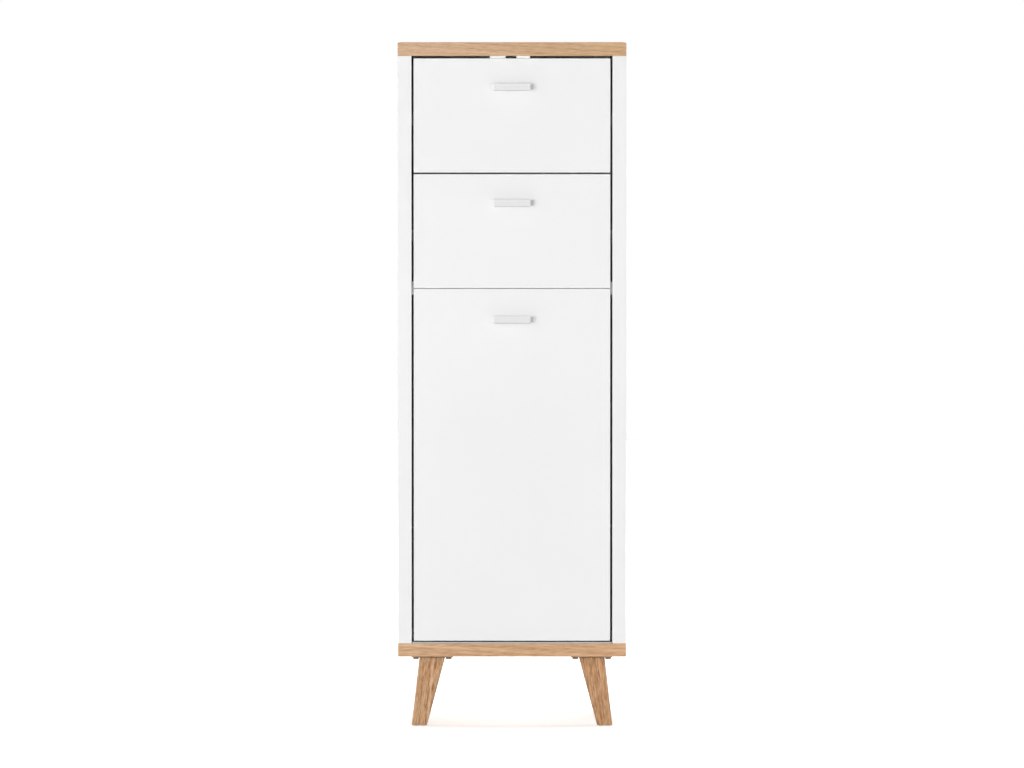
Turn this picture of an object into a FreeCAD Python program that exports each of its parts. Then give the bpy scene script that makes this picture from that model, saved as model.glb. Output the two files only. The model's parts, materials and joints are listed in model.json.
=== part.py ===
"""Bathroom side cabinet: two drawers over a tilt-out laundry flap, on four splayed legs.

Millimetres. X runs to the right, Y to the back and Z up. The origin lies on the floor, under the
middle of the box that the whole cabinet fills, handles included.
"""
import FreeCAD, Part
import math
import os
from collections import namedtuple

Vector = FreeCAD.Vector

# Carcass
overall_width = 380.0
overall_height = 1140.0
carcass_depth = 330.0
board_thickness = 22.0
side_thickness = 23.0
board_edge_radius = 0.8
back_thickness = 3.0
back_setback = 10.0
back_groove_depth = 8.0

# Fronts, set flush inside the frame
front_thickness = 16.0
front_edge_radius = 0.8
front_side_gap = 3.5
front_top_gap = 4.0
drawer_fronts_gap = 2.6
flap_top_gap = 1.0
flap_bottom_gap = 4.5
drawer_front_height = 189.6

# Legs
leg_height = 118.0
leg_top_width = 43.0
leg_foot_width = 25.5
leg_corner_radius = 5.0
leg_inset = 57.0
leg_splay_degrees = 10.85
leg_foot_radius = 0.8
leg_plate_thickness = 3.0
leg_plate_margin = 13.0
leg_plate_corner_radius = 8.0
leg_plate_screw_inset = 7.0
leg_bolt_diameter = 8.0
leg_bolt_in_leg = 30.0
leg_bolt_in_board = 15.0
glide_thickness = 1.5
glide_margin = 2.5
glide_nail_diameter = 3.0
glide_nail_length = 12.0

# Board joints
cam_inset = 60.0
dowel_offset = 32.0
dowel_diameter = 8.0
dowel_length = 30.0
cam_floor = 1.5
cam_slot_width = 2.0
cam_slot_depth = 2.0
cam_slot_length_share = 0.6
CamSize = namedtuple("CamSize", "diameter setback bolt thread thread_length")
carcass_cam = CamSize(diameter=15.0, setback=24.0, bolt=6.0, thread=5.0, thread_length=11.0)
drawer_cam = CamSize(diameter=12.0, setback=20.0, bolt=4.5, thread=4.0, thread_length=9.0)

# Drawer boxes
drawer_side_thickness = 12.0
drawer_edge_radius = 0.6
drawer_box_height = 142.0
drawer_box_lift = 16.0
drawer_rear_clearance = 11.0
drawer_bottom_thickness = 3.0
drawer_bottom_lift = 10.0
drawer_groove_depth = 5.0
drawer_cam_inset = 35.0
drawer_screw_inset = 30.0

# Ball slides
drawer_travel = 200.0
rail_thickness = 10.0
rail_height = 17.0
rail_sheet = 1.0
rail_end_margin = 8.0
rail_lip_gap = 1.5
ball_diameter = 2.4
balls_per_row = 6
cage_sheet = 0.6
cage_margin = 6.0
cabinet_rail_screw_shares = (0.08, 0.5, 0.92)
drawer_rail_screw_shares = (0.12, 0.88)

# Screws. Some are as long as what they go through lets them be
ScrewSize = namedtuple("ScrewSize", "shank head head_height length")
handle_screw_grip = 4.0
fitting_screw_cover = 2.0
rail_screw_cover = 3.0
plate_screw = ScrewSize(shank=4.0, head=10.0, head_height=3.4, length=16.0)
box_screw = ScrewSize(shank=3.5, head=7.0, head_height=2.2, length=34.0)
handle_screw = ScrewSize(4.0, 8.0, 2.4, front_thickness + handle_screw_grip)
fitting_screw = ScrewSize(3.5, 7.0, 2.0, front_thickness - fitting_screw_cover)
rail_screw = ScrewSize(3.0, 6.4, rail_sheet, rail_sheet + drawer_side_thickness - rail_screw_cover)
recess_length_share = 0.55
recess_width_share = 0.14
recess_depth_share = 0.5
head_round_share = 0.5

# Bow handles
handle_projection = 22.0
handle_face_length = 61.5
handle_face_height = 13.6
handle_face_thickness = 4.0
handle_edge_radius = 1.5
handle_foot_length = 71.2
handle_foot_height = 10.0
handle_foot_thickness = 9.0
handle_foot_edge_radius = 0.8
handle_end_depth = 5.0
handle_hole_spacing = 64.0
drawer_handle_drop = 47.3
flap_handle_drop = 50.6

# White stop blocks in the gap over the top drawer front
StopBlock = namedtuple("StopBlock", "centre width")
left_stop = StopBlock(centre=-23.8, width=26.0)
right_stop = StopBlock(centre=18.6, width=22.4)
stop_block_lip = 12.0
stop_block_depth = 6.0
stop_peg_diameter = 5.0
stop_peg_length = 8.0

# Light strip on the bottom board, in the gap under the flap
seal_gap = 1.9
seal_depth = 2.2
seal_end_gap = 1.0
seal_edge_radius = 0.5

# Laundry flap
flap_opening_degrees = 28.0
pivot_rise = 12.0
pivot_pin_diameter = 6.0
pivot_pin_in_flap = 25.0
pivot_bush_length = 14.0
pivot_bush_wall = 1.5
pivot_bush_flange = 1.0
pivot_running_clearance = 0.05
bumper_diameter = 8.0
bumper_thickness = 1.5
bumper_inset = 18.0

# Slotted stays that stop the flap, and their pins
stay_radius = 180.0
stay_sheet = 2.0
stay_gap = 5.0
stay_half_width = 10.0
stay_pin_degrees = 12.0
stay_end_degrees = 2.0
stay_flange_width = 14.0
stay_flange_height = 60.0
stop_pin_diameter = 6.0
stop_pin_head_diameter = 11.0
stop_pin_head_thickness = 1.5
stop_pin_tail_diameter = 4.0
stop_pin_tail_length = 12.0

# Bag frame and laundry bag
frame_rod_diameter = 8.0
frame_reach = 215.0
frame_corner_radius = 26.0
frame_side_clearance = 9.0
frame_foot_offset = 90.0
frame_foot_width = 24.0
frame_foot_height = 44.0
frame_foot_thickness = 3.0
frame_weld_depth = 0.8
frame_foot_screw_shares = (0.42, 0.8)
swing_clearance = 6.0
bag_floor_clearance = 51.0
bag_wall = 2.0
bag_taper = 10.0
bag_corner_radius = 30.0

# Clearances
fit_play = 0.1
bolt_play = 0.3
moving_clearance = 0.3
overrun = 10.0

# Planes and lines that the pieces share
front_plane = (handle_projection - carcass_depth) / 2
back_plane = front_plane + carcass_depth
front_back = front_plane + front_thickness
half_width = overall_width / 2
inner_half = half_width - side_thickness
front_half = inner_half - front_side_gap
side_middle = inner_half + side_thickness / 2
floor_top = leg_height + board_thickness
top_underside = overall_height - board_thickness
back_rear_face = back_plane - back_setback
back_front_face = back_rear_face - back_thickness
top_front_bottom = top_underside - front_top_gap - drawer_front_height
middle_front_bottom = top_front_bottom - drawer_fronts_gap - drawer_front_height
flap_top = middle_front_bottom - flap_top_gap
flap_bottom = floor_top + flap_bottom_gap
shelf_middle = flap_top + flap_top_gap / 2
shelf_underside = shelf_middle - board_thickness / 2
shelf_front = front_back + bumper_thickness + moving_clearance
pivot_y = front_plane + front_thickness / 2
pivot_z = flap_bottom + pivot_rise

TO_RIGHT = Vector(1, 0, 0)
TO_BACK = Vector(0, 1, 0)
UP = Vector(0, 0, 1)


# Small helpers
def block(low, high):
    """A block between its lowest and highest corner."""
    return Part.makeBox(high[0] - low[0], high[1] - low[1], high[2] - low[2], Vector(*low))


def board(low, high, radius):
    """A block with all its edges eased, as an edge band is."""
    plain = block(low, high)
    return plain.makeFillet(radius, plain.Edges)


def rod(start, direction, length, diameter):
    """A round bar from a point along a direction."""
    return Part.makeCylinder(diameter / 2, length, start, direction)


def drilled(shape, tools):
    """A single solid with all the tools cut out of it."""
    return shape.cut(tools).Solids[0]


def joined(shapes):
    """One solid from pieces that overlap."""
    return shapes[0].fuse(shapes[1:]).removeSplitter().Solids[0]


def mirrored(shape):
    """The same piece on the other side of the cabinet."""
    return shape.mirror(Vector(), TO_RIGHT)


def both_sides(shapes):
    """Pieces of the right side with their mirror images."""
    return list(shapes) + [mirrored(shape) for shape in shapes]


def placed(shape, point, direction):
    """A piece drawn along +Z from the origin, moved to a point and turned to a direction."""
    copy = shape.copy()
    copy.Placement = FreeCAD.Placement(point, FreeCAD.Rotation(UP, direction))
    return copy


def rounded_outline(half, front, back, radius, height):
    """A level rectangle with round corners, as a closed wire."""
    bend = radius * (1 - math.sqrt(0.5))
    corners = [(half, back, -1, -1), (-half, back, 1, -1), (-half, front, 1, 1), (half, front, -1, 1)]
    arcs = []
    for x, y, in_x, in_y in corners:
        along_x = Vector(x + in_x * radius, y, height)
        along_y = Vector(x, y + in_y * radius, height)
        middle = Vector(x + in_x * bend, y + in_y * bend, height)
        ends = (along_y, middle, along_x) if in_x == in_y else (along_x, middle, along_y)
        arcs.append(Part.Arc(*ends))
    edges = []
    for number, arc in enumerate(arcs):
        following = arcs[(number + 1) % len(arcs)]
        edges.append(arc.toShape())
        edges.append(Part.makeLine(arc.EndPoint, following.StartPoint))
    return Part.Wire(edges)


def save(name, shapes):
    """Write one node: a solid, or a group of separate solids."""
    shape = Part.makeCompound(shapes) if isinstance(shapes, list) else shapes
    shape.exportStep(f"parts/{name}.step")


# Screws
def cross_recess(size):
    """The cross in a screw's head, with the head's outer face at zero."""
    reach = size.head * recess_length_share / 2
    width = size.head * recess_width_share / 2
    depth = size.head_height * recess_depth_share
    first = block((-reach, -width, -overrun), (reach, width, depth))
    return first.fuse(block((-width, -reach, -overrun), (width, reach, depth)))


def pan_screw(point, direction, size):
    """A screw whose rounded head sits on the surface at the point."""
    head = Part.makeCylinder(size.head / 2, size.head_height)
    head = head.makeFillet(size.head_height * head_round_share, [head.Edges[2]])
    head = head.cut(cross_recess(size))
    head.translate(UP * -size.head_height)
    shank = Part.makeCylinder(size.shank / 2, size.length)
    return placed(joined([head, shank]), point, direction)


def flush_screw(point, direction, size):
    """A screw whose tapered head is level with the surface at the point."""
    head = Part.makeCone(size.head / 2, size.shank / 2, size.head_height)
    shank = Part.makeCylinder(size.shank / 2, size.length)
    return placed(drilled(joined([head, shank]), [cross_recess(size)]), point, direction)


def shank_hole(point, direction, size):
    """The hole for a pan screw's shank, from the surface at the point."""
    return rod(point, direction, size.length + fit_play, size.shank + 2 * fit_play)


def flush_hole(point, direction, size):
    """The hole for a flush screw, with the taper of its head."""
    head = Part.makeCone(size.head / 2 + fit_play, size.shank / 2 + fit_play, size.head_height)
    shank = Part.makeCylinder(size.shank / 2 + fit_play, size.length + fit_play)
    return placed(head.fuse(shank), point, direction)


# Cam joints and dowels
CamJoint = namedtuple("CamJoint", "bolt lock holes")


def cam_joint(point, into, face, thickness, size):
    """A bolt screwed into one board and the cam that draws the other board to it.

    The point lies where the two boards meet. The bolt's thread goes along into, and the cam opens
    on the side that face points to, in a board of the given thickness.
    """
    centre = point - into * size.setback
    mouth = centre + face * (thickness / 2)
    depth = thickness / 2 + size.bolt / 2 + cam_floor
    shank = rod(centre, into, size.setback, size.bolt)
    thread = rod(point, into, size.thread_length, size.thread)
    tunnel = rod(centre - into * bolt_play, into, size.setback + bolt_play, size.bolt + 2 * bolt_play)
    slot_length = size.diameter * cam_slot_length_share
    slot = block((-slot_length / 2, -cam_slot_width / 2, -overrun),
                 (slot_length / 2, cam_slot_width / 2, cam_slot_depth))
    body = rod(mouth, face * -1, depth, size.diameter)
    lock = drilled(body, [tunnel, placed(slot, mouth, face * -1)])
    pocket = rod(mouth + face * overrun, face * -1, depth + overrun + fit_play, size.diameter + 2 * fit_play)
    thread_hole = rod(point, into, size.thread_length + fit_play, size.thread + 2 * fit_play)
    return CamJoint(joined([shank, thread]), lock, [tunnel, thread_hole, pocket])


def dowel(point, into, play):
    """A dowel half in each board, or with some play the hole for it."""
    length = dowel_length + 2 * play
    return rod(point - into * (length / 2), into, length, dowel_diameter + 2 * play)


def carcass_joints():
    """All cams and dowels of the right side: top board, bottom board and shelf."""
    corners = [
        (Vector(side_middle, 0, top_underside), UP, TO_RIGHT * -1, side_thickness),
        (Vector(side_middle, 0, floor_top), UP * -1, TO_RIGHT * -1, side_thickness),
        (Vector(inner_half, 0, shelf_middle), TO_RIGHT, UP * -1, board_thickness),
    ]
    cams = []
    dowel_places = []
    for corner, into, face, thickness in corners:
        for edge, inward in ((front_plane, 1), (back_plane, -1)):
            cam_point = corner + TO_BACK * (edge + inward * cam_inset)
            cams.append(cam_joint(cam_point, into, face, thickness, carcass_cam))
            dowel_places.append((cam_point - TO_BACK * (inward * dowel_offset), into))
    return cams, dowel_places


# Carcass
def back_panel(play):
    """The thin back in its grooves, or with some play the grooves themselves."""
    sunk = back_groove_depth - fit_play + play
    low = (-inner_half - sunk, back_front_face - play, floor_top - sunk)
    high = (inner_half + sunk, back_rear_face + play, top_underside + sunk)
    return block(low, high)


def top_board(holes):
    """The upper board, which lies on both side panels."""
    low = (-half_width, front_plane, top_underside)
    high = (half_width, back_plane, overall_height)
    return drilled(board(low, high, board_edge_radius), holes)


def bottom_board(holes):
    """The lower board, which carries the side panels and stands on the legs."""
    low = (-half_width, front_plane, leg_height)
    high = (half_width, back_plane, floor_top)
    return drilled(board(low, high, board_edge_radius), holes)


def right_side_panel(holes):
    """The right panel between the two boards."""
    low = (inner_half, front_plane, floor_top)
    high = (half_width, back_plane, top_underside)
    return drilled(board(low, high, board_edge_radius), holes)


def fixed_shelf(holes):
    """The shelf between the drawers and the laundry space, set back behind the fronts."""
    low = (-inner_half, shelf_front, shelf_underside)
    high = (inner_half, back_front_face - fit_play, shelf_underside + board_thickness)
    return drilled(board(low, high, board_edge_radius), holes)


# Legs
LegSet = namedtuple("LegSet", "leg plate bolt screws glide board_holes")


def leg_set(side, end):
    """One leg with its plate, bolt, screws and glide. Side and end are 1 or -1: right, back."""
    lean = math.tan(math.radians(leg_splay_degrees))
    middle = (front_plane + back_plane) / 2
    top_z = leg_height - leg_plate_thickness
    top = Vector(side * (half_width - leg_inset), middle + end * (carcass_depth / 2 - leg_inset), top_z)
    foot = top + Vector(side * lean, end * lean, -1) * (top_z - glide_thickness)
    foot_corner_radius = leg_corner_radius * leg_foot_width / leg_top_width
    outlines = []
    for centre, width, radius in ((top, leg_top_width, leg_corner_radius),
                                  (foot, leg_foot_width, foot_corner_radius)):
        outline = rounded_outline(width / 2, -width / 2, width / 2, radius, 0)
        outline.translate(centre)
        outlines.append(outline)
    leg = Part.makeLoft(outlines, True, True)
    foot_edges = [edge for edge in leg.Edges if edge.BoundBox.ZMax < glide_thickness + fit_play]
    leg = leg.makeFillet(leg_foot_radius, foot_edges)

    bolt_start = top - UP * leg_bolt_in_leg
    bolt_length = leg_bolt_in_leg + leg_plate_thickness + leg_bolt_in_board
    bolt = rod(bolt_start, UP, bolt_length, leg_bolt_diameter)
    bolt_hole = rod(bolt_start - UP * fit_play, UP, bolt_length + 2 * fit_play,
                    leg_bolt_diameter + 2 * fit_play)

    plate_half = leg_top_width / 2 + leg_plate_margin
    plate = block((top.x - plate_half, top.y - plate_half, top_z),
                  (top.x + plate_half, top.y + plate_half, leg_height))
    upright = [edge for edge in plate.Edges if edge.BoundBox.ZLength > leg_plate_thickness / 2]
    plate = plate.makeFillet(leg_plate_corner_radius, upright)
    reach = plate_half - leg_plate_screw_inset
    screw_points = [top + Vector(a * reach, b * reach, 0) for a in (1, -1) for b in (1, -1)]
    screws = [pan_screw(point, UP, plate_screw) for point in screw_points]
    screw_holes = [shank_hole(point, UP, plate_screw) for point in screw_points]
    plate = drilled(plate, screw_holes + [bolt_hole])

    foot_floor = Vector(foot.x, foot.y, 0)
    disc = rod(foot_floor, UP, glide_thickness, leg_foot_width - 2 * glide_margin)
    nail_length = glide_thickness + glide_nail_length
    nail = rod(foot_floor, UP, nail_length, glide_nail_diameter)
    nail_hole = rod(foot_floor, UP, nail_length + fit_play, glide_nail_diameter + 2 * fit_play)
    leg = drilled(leg, [bolt_hole, nail_hole])
    return LegSet(leg, plate, bolt, screws, joined([disc, nail]), screw_holes + [bolt_hole])


# Bow handles
def handle(height):
    """A handle on a front's face, with its middle at a height, and its two screws and holes."""
    face_half = handle_face_length / 2
    face_back = front_plane - handle_projection + handle_face_thickness
    face = board((-face_half, front_plane - handle_projection, height - handle_face_height / 2),
                 (face_half, face_back, height + handle_face_height / 2), handle_edge_radius)
    foot_half = handle_foot_length / 2
    bend = face_back - handle_face_thickness / 2
    inner_face = face_half - handle_edge_radius
    outline = [
        Vector(foot_half, front_plane, 0),
        Vector(foot_half, bend + handle_end_depth, 0),
        Vector(inner_face, bend, 0),
        Vector(inner_face - handle_foot_thickness, bend, 0),
        Vector(foot_half - handle_foot_thickness, bend + handle_end_depth, 0),
        Vector(foot_half - handle_foot_thickness, front_plane, 0),
        Vector(foot_half, front_plane, 0),
    ]
    foot = Part.Face(Part.makePolygon(outline)).extrude(UP * handle_foot_height)
    eased = [edge for edge in foot.Edges if edge.BoundBox.YMin < front_plane - fit_play]
    foot = foot.makeFillet(handle_foot_edge_radius, eased)
    foot.translate(UP * (height - handle_foot_height / 2))
    body = joined([face] + both_sides([foot]))
    points = [Vector(side * handle_hole_spacing / 2, front_back, height) for side in (1, -1)]
    screws = [pan_screw(point, TO_BACK * -1, handle_screw) for point in points]
    holes = [shank_hole(point, TO_BACK * -1, handle_screw) for point in points]
    return drilled(body, holes), screws, holes


# Ball slides
rail_start = front_back + rail_end_margin
drawer_box_half = inner_half - rail_thickness
drawer_side_length = back_front_face - drawer_rear_clearance - front_back
rail_length = drawer_side_length - 2 * rail_end_margin
inner_rail_half = rail_height / 2 - rail_sheet - ball_diameter - 2 * moving_clearance
ball_line = rail_height / 2 - rail_sheet - moving_clearance - ball_diameter / 2
cage_web = rail_sheet + 2 * moving_clearance
inner_rail_edge = cage_web + cage_sheet + moving_clearance


def channel(web, edge, half_height, sheet, start, length, middle):
    """A rail of the right side: an upright web and two flanges that end at an edge.

    Web and edge are distances from the side panel's inner face. The web's open side faces the edge.
    """
    web_end = web + sheet if edge > web else web - sheet
    spans = [
        (web, web_end, -half_height, half_height),
        (web, edge, half_height - sheet, half_height),
        (web, edge, -half_height, sheet - half_height),
    ]
    pieces = []
    for first, second, low, high in spans:
        near = inner_half - max(first, second)
        far = inner_half - min(first, second)
        pieces.append(block((near, start, middle + low), (far, start + length, middle + high)))
    return joined(pieces)


def cabinet_rail(middle):
    """The rail on the cabinet's right side panel, with its screws and holes."""
    edge = rail_thickness - rail_lip_gap
    rail = channel(0, edge, rail_height / 2, rail_sheet, rail_start, rail_length, middle)
    points = [Vector(inner_half - rail_sheet, rail_start + share * rail_length, middle)
              for share in cabinet_rail_screw_shares]
    screws = [flush_screw(point, TO_RIGHT, rail_screw) for point in points]
    holes = [flush_hole(point, TO_RIGHT, rail_screw) for point in points]
    return drilled(rail, holes), screws, holes


def drawer_rail(middle):
    """The rail on the drawer's right side, with its screws and holes."""
    rail = channel(rail_thickness, inner_rail_edge, inner_rail_half, rail_sheet, rail_start, rail_length,
                   middle)
    points = [Vector(drawer_box_half + rail_sheet, rail_start + share * rail_length, middle)
              for share in drawer_rail_screw_shares]
    screws = [flush_screw(point, TO_RIGHT * -1, rail_screw) for point in points]
    holes = [flush_hole(point, TO_RIGHT * -1, rail_screw) for point in points]
    return drilled(rail, holes), screws, holes


def ball_cage(middle):
    """The cage between the two rails, with its rows of balls. It runs at half the drawer's speed."""
    length = rail_length - drawer_travel - 2 * cage_margin
    start = rail_start + drawer_travel / 2 + cage_margin
    edge = rail_thickness - rail_lip_gap - moving_clearance
    cage = channel(cage_web, edge, ball_line + cage_sheet / 2, cage_sheet, start, length, middle)
    ball_x = inner_half - (inner_rail_edge + edge) / 2
    pitch = length / balls_per_row
    balls = []
    for row in (ball_line, -ball_line):
        for number in range(balls_per_row):
            centre = Vector(ball_x, start + (number + 0.5) * pitch, middle + row)
            balls.append(Part.makeSphere(ball_diameter / 2, centre))
    return joined([cage] + balls)


# Drawers
def drawer(name, front_bottom):
    """Write all nodes of one drawer and its cages. Return its cabinet rails, their screws and holes."""
    box_bottom = front_bottom + drawer_box_lift
    box_top = box_bottom + drawer_box_height
    box_end = front_back + drawer_side_length
    inside = drawer_box_half - drawer_side_thickness
    rail_middle = box_bottom + drawer_box_height / 2
    bottom_low = box_bottom + drawer_bottom_lift

    def bottom_panel(play):
        """The bottom in the grooves of the four walls, or with some play those grooves."""
        sunk = drawer_groove_depth - fit_play + play
        back_inner = box_end - drawer_side_thickness
        low = (-inside - sunk, front_back - sunk, bottom_low - play)
        high = (inside + sunk, back_inner + sunk, bottom_low + drawer_bottom_thickness + play)
        return block(low, high)

    groove = bottom_panel(fit_play)
    cam_heights = (box_bottom + drawer_cam_inset, box_top - drawer_cam_inset)
    cams = [cam_joint(Vector(drawer_box_half - drawer_side_thickness / 2, front_back, height), TO_BACK * -1,
                      TO_RIGHT * -1, drawer_side_thickness, drawer_cam) for height in cam_heights]
    cam_holes = [hole for cam in cams for hole in cam.holes]
    screw_heights = (box_bottom + drawer_screw_inset, box_top - drawer_screw_inset)
    screw_points = [Vector(drawer_box_half, box_end - drawer_side_thickness / 2, height)
                    for height in screw_heights]
    box_screws = [flush_screw(point, TO_RIGHT * -1, box_screw) for point in screw_points]
    box_holes = [flush_hole(point, TO_RIGHT * -1, box_screw) for point in screw_points]
    rail, rail_screws, rail_holes = drawer_rail(rail_middle)
    grip, grip_screws, grip_holes = handle(front_bottom + drawer_front_height - drawer_handle_drop)

    front = board((-front_half, front_plane, front_bottom),
                  (front_half, front_back, front_bottom + drawer_front_height), front_edge_radius)
    side = board((inside, front_back, box_bottom), (drawer_box_half, box_end, box_top), drawer_edge_radius)
    side = drilled(side, cam_holes + box_holes + rail_holes + [groove])
    back = board((-inside, box_end - drawer_side_thickness, box_bottom), (inside, box_end, box_top),
                 drawer_edge_radius)

    save(f"{name}_front", drilled(front, both_sides(cam_holes) + grip_holes + [groove]))
    save(f"{name}_right_side", side)
    save(f"{name}_left_side", mirrored(side))
    save(f"{name}_back", drilled(back, both_sides(box_holes) + [groove]))
    save(f"{name}_bottom", bottom_panel(0))
    save(f"{name}_cam_bolts", both_sides([cam.bolt for cam in cams]))
    save(f"{name}_cam_locks", both_sides([cam.lock for cam in cams]))
    save(f"{name}_back_screws", both_sides(box_screws))
    save(f"{name}_rails", both_sides([rail]))
    save(f"{name}_rail_screws", both_sides(rail_screws))
    save(f"{name}_ball_cages", both_sides([ball_cage(rail_middle)]))
    save(f"{name}_handle", grip)
    save(f"{name}_handle_screws", grip_screws)
    return cabinet_rail(rail_middle)


# White stop blocks
def stop_block(size):
    """A block that fills the gap over the drawer front, with a lip behind the front and a peg."""
    left = size.centre - size.width / 2
    right = size.centre + size.width / 2
    gap_bottom = top_underside - front_top_gap + moving_clearance
    lip_front = front_back + moving_clearance
    lip_back = lip_front + stop_block_depth
    plate = block((left, front_plane, gap_bottom), (right, lip_back, top_underside))
    lip = block((left, lip_front, gap_bottom - stop_block_lip), (right, lip_back, gap_bottom))
    peg_start = Vector(size.centre, (front_plane + lip_back) / 2, gap_bottom)
    length = top_underside - gap_bottom + stop_peg_length
    peg = rod(peg_start, UP, length, stop_peg_diameter)
    hole = rod(peg_start, UP, length + fit_play, stop_peg_diameter + 2 * fit_play)
    return joined([plate, lip, peg]), hole


def flap_seal_strip():
    """The strip along the bottom board's front edge, with its two long upper edges rounded."""
    low = (seal_end_gap - inner_half, front_plane + board_edge_radius, floor_top)
    high = (inner_half - seal_end_gap, low[1] + seal_depth, flap_bottom - seal_gap)
    plain = block(low, high)
    upper = [edge for edge in plain.Edges if edge.BoundBox.ZMin > floor_top]
    return plain.makeFillet(seal_edge_radius, [edge for edge in upper if edge.Length > seal_depth])


# Laundry flap and its fittings
def swing_point(radius, degrees):
    """A point round the flap's pivot, in its upright plane. The angle leans to the back from up."""
    angle = math.radians(degrees)
    return Vector(0, pivot_y + radius * math.sin(angle), pivot_z + radius * math.cos(angle))


def swing_band(inner, outer, first, last):
    """A curved band round the flap's pivot, as a flat face between two angles."""
    middle = (first + last) / 2
    rim = Part.Arc(swing_point(outer, first), swing_point(outer, middle), swing_point(outer, last))
    bore = Part.Arc(swing_point(inner, last), swing_point(inner, middle), swing_point(inner, first))
    ends = [Part.makeLine(swing_point(outer, last), swing_point(inner, last)),
            Part.makeLine(swing_point(inner, first), swing_point(outer, first))]
    return Part.Face(Part.Wire([rim.toShape(), ends[0], bore.toShape(), ends[1]]))


stay_outer = inner_half - stay_gap
stay_inner = stay_outer - stay_sheet
stay_last = stay_pin_degrees + flap_opening_degrees


def flap_pivot():
    """The right pivot pin, its bush in the side panel, and the holes that hold them."""
    flap_edge = front_half
    bush_bore = pivot_pin_diameter + 2 * pivot_running_clearance
    bush_outer = pivot_pin_diameter + 2 * pivot_bush_wall
    pin_start = Vector(flap_edge - pivot_pin_in_flap, pivot_y, pivot_z)
    mouth = Vector(inner_half - pivot_bush_flange, pivot_y, pivot_z)
    pin = rod(pin_start, TO_RIGHT, inner_half + pivot_bush_length - pin_start.x - pivot_bush_wall,
              pivot_pin_diameter)
    pin_hole = rod(pin_start - TO_RIGHT * fit_play, TO_RIGHT, pivot_pin_in_flap + overrun,
                   pivot_pin_diameter + 2 * fit_play)
    barrel = rod(mouth, TO_RIGHT, pivot_bush_flange + pivot_bush_length, bush_outer)
    flange = rod(mouth, TO_RIGHT, pivot_bush_flange, bush_outer + 2 * pivot_bush_wall)
    bore = rod(mouth, TO_RIGHT, pivot_bush_flange + pivot_bush_length - pivot_bush_wall + moving_clearance,
               bush_bore)
    bush_hole = rod(mouth, TO_RIGHT, pivot_bush_flange + pivot_bush_length + fit_play,
                    bush_outer + 2 * fit_play)
    return pin, drilled(joined([barrel, flange]), [bore]), pin_hole, bush_hole


def flap_stay():
    """The right slotted stay, with its screws and their holes in the flap."""
    band = swing_band(stay_radius - stay_half_width, stay_radius + stay_half_width,
                      0, stay_last + stay_end_degrees)
    plate = band.extrude(TO_RIGHT * stay_sheet)
    plate.translate(TO_RIGHT * stay_inner)
    end = swing_point(stay_radius, stay_last + stay_end_degrees) + TO_RIGHT * stay_inner
    behind_flap = block((0, front_back, 0), (half_width, back_plane, overall_height))
    middle = pivot_z + stay_radius
    flange = block((stay_outer - stay_flange_width, front_back, middle - stay_flange_height / 2),
                   (stay_outer, front_back + stay_sheet, middle + stay_flange_height / 2))
    body = joined([plate.common(behind_flap), rod(end, TO_RIGHT, stay_sheet, 2 * stay_half_width), flange])

    slot_half = stop_pin_diameter / 2 + moving_clearance
    slot = swing_band(stay_radius - slot_half, stay_radius + slot_half, stay_pin_degrees, stay_last)
    slot = slot.extrude(TO_RIGHT * stay_sheet)
    slot.translate(TO_RIGHT * stay_inner)
    slot_ends = [rod(swing_point(stay_radius, angle) + TO_RIGHT * stay_inner, TO_RIGHT, stay_sheet,
                     2 * slot_half) for angle in (stay_pin_degrees, stay_last)]

    screw_x = stay_outer - (stay_flange_width + stay_sheet) / 2
    rise = stay_flange_height / 2 - fitting_screw.head
    points = [Vector(screw_x, front_back + stay_sheet, middle + way * rise) for way in (1, -1)]
    screws = [pan_screw(point, TO_BACK * -1, fitting_screw) for point in points]
    holes = [shank_hole(point, TO_BACK * -1, fitting_screw) for point in points]
    return drilled(body, [slot] + slot_ends + holes), screws, holes


def stop_pin():
    """The right stop pin, which stands on the side panel in the stay's slot, and its hole."""
    axis = swing_point(stay_radius, stay_pin_degrees)
    root = axis + TO_RIGHT * inner_half
    head_start = axis + TO_RIGHT * (stay_inner - moving_clearance - stop_pin_head_thickness)
    shank = rod(head_start, TO_RIGHT, inner_half - head_start.x, stop_pin_diameter)
    head = rod(head_start, TO_RIGHT, stop_pin_head_thickness, stop_pin_head_diameter)
    tail = rod(root, TO_RIGHT, stop_pin_tail_length, stop_pin_tail_diameter)
    hole = rod(root, TO_RIGHT, stop_pin_tail_length + fit_play, stop_pin_tail_diameter + 2 * fit_play)
    return joined([head, shank, tail]), hole


# Bag frame and laundry bag
rod_radius = frame_rod_diameter / 2
frame_half = (stay_inner - moving_clearance - stop_pin_head_thickness - frame_side_clearance) - rod_radius
frame_front = front_back + frame_foot_thickness + rod_radius - frame_weld_depth
frame_rear = front_back + frame_reach
swing_radius = shelf_underside - pivot_z - swing_clearance
frame_rise = math.sqrt(swing_radius ** 2 - (frame_rear + rod_radius - pivot_y) ** 2) - rod_radius
frame_height = pivot_z + frame_rise
bag_rim = frame_height - rod_radius - moving_clearance


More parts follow.
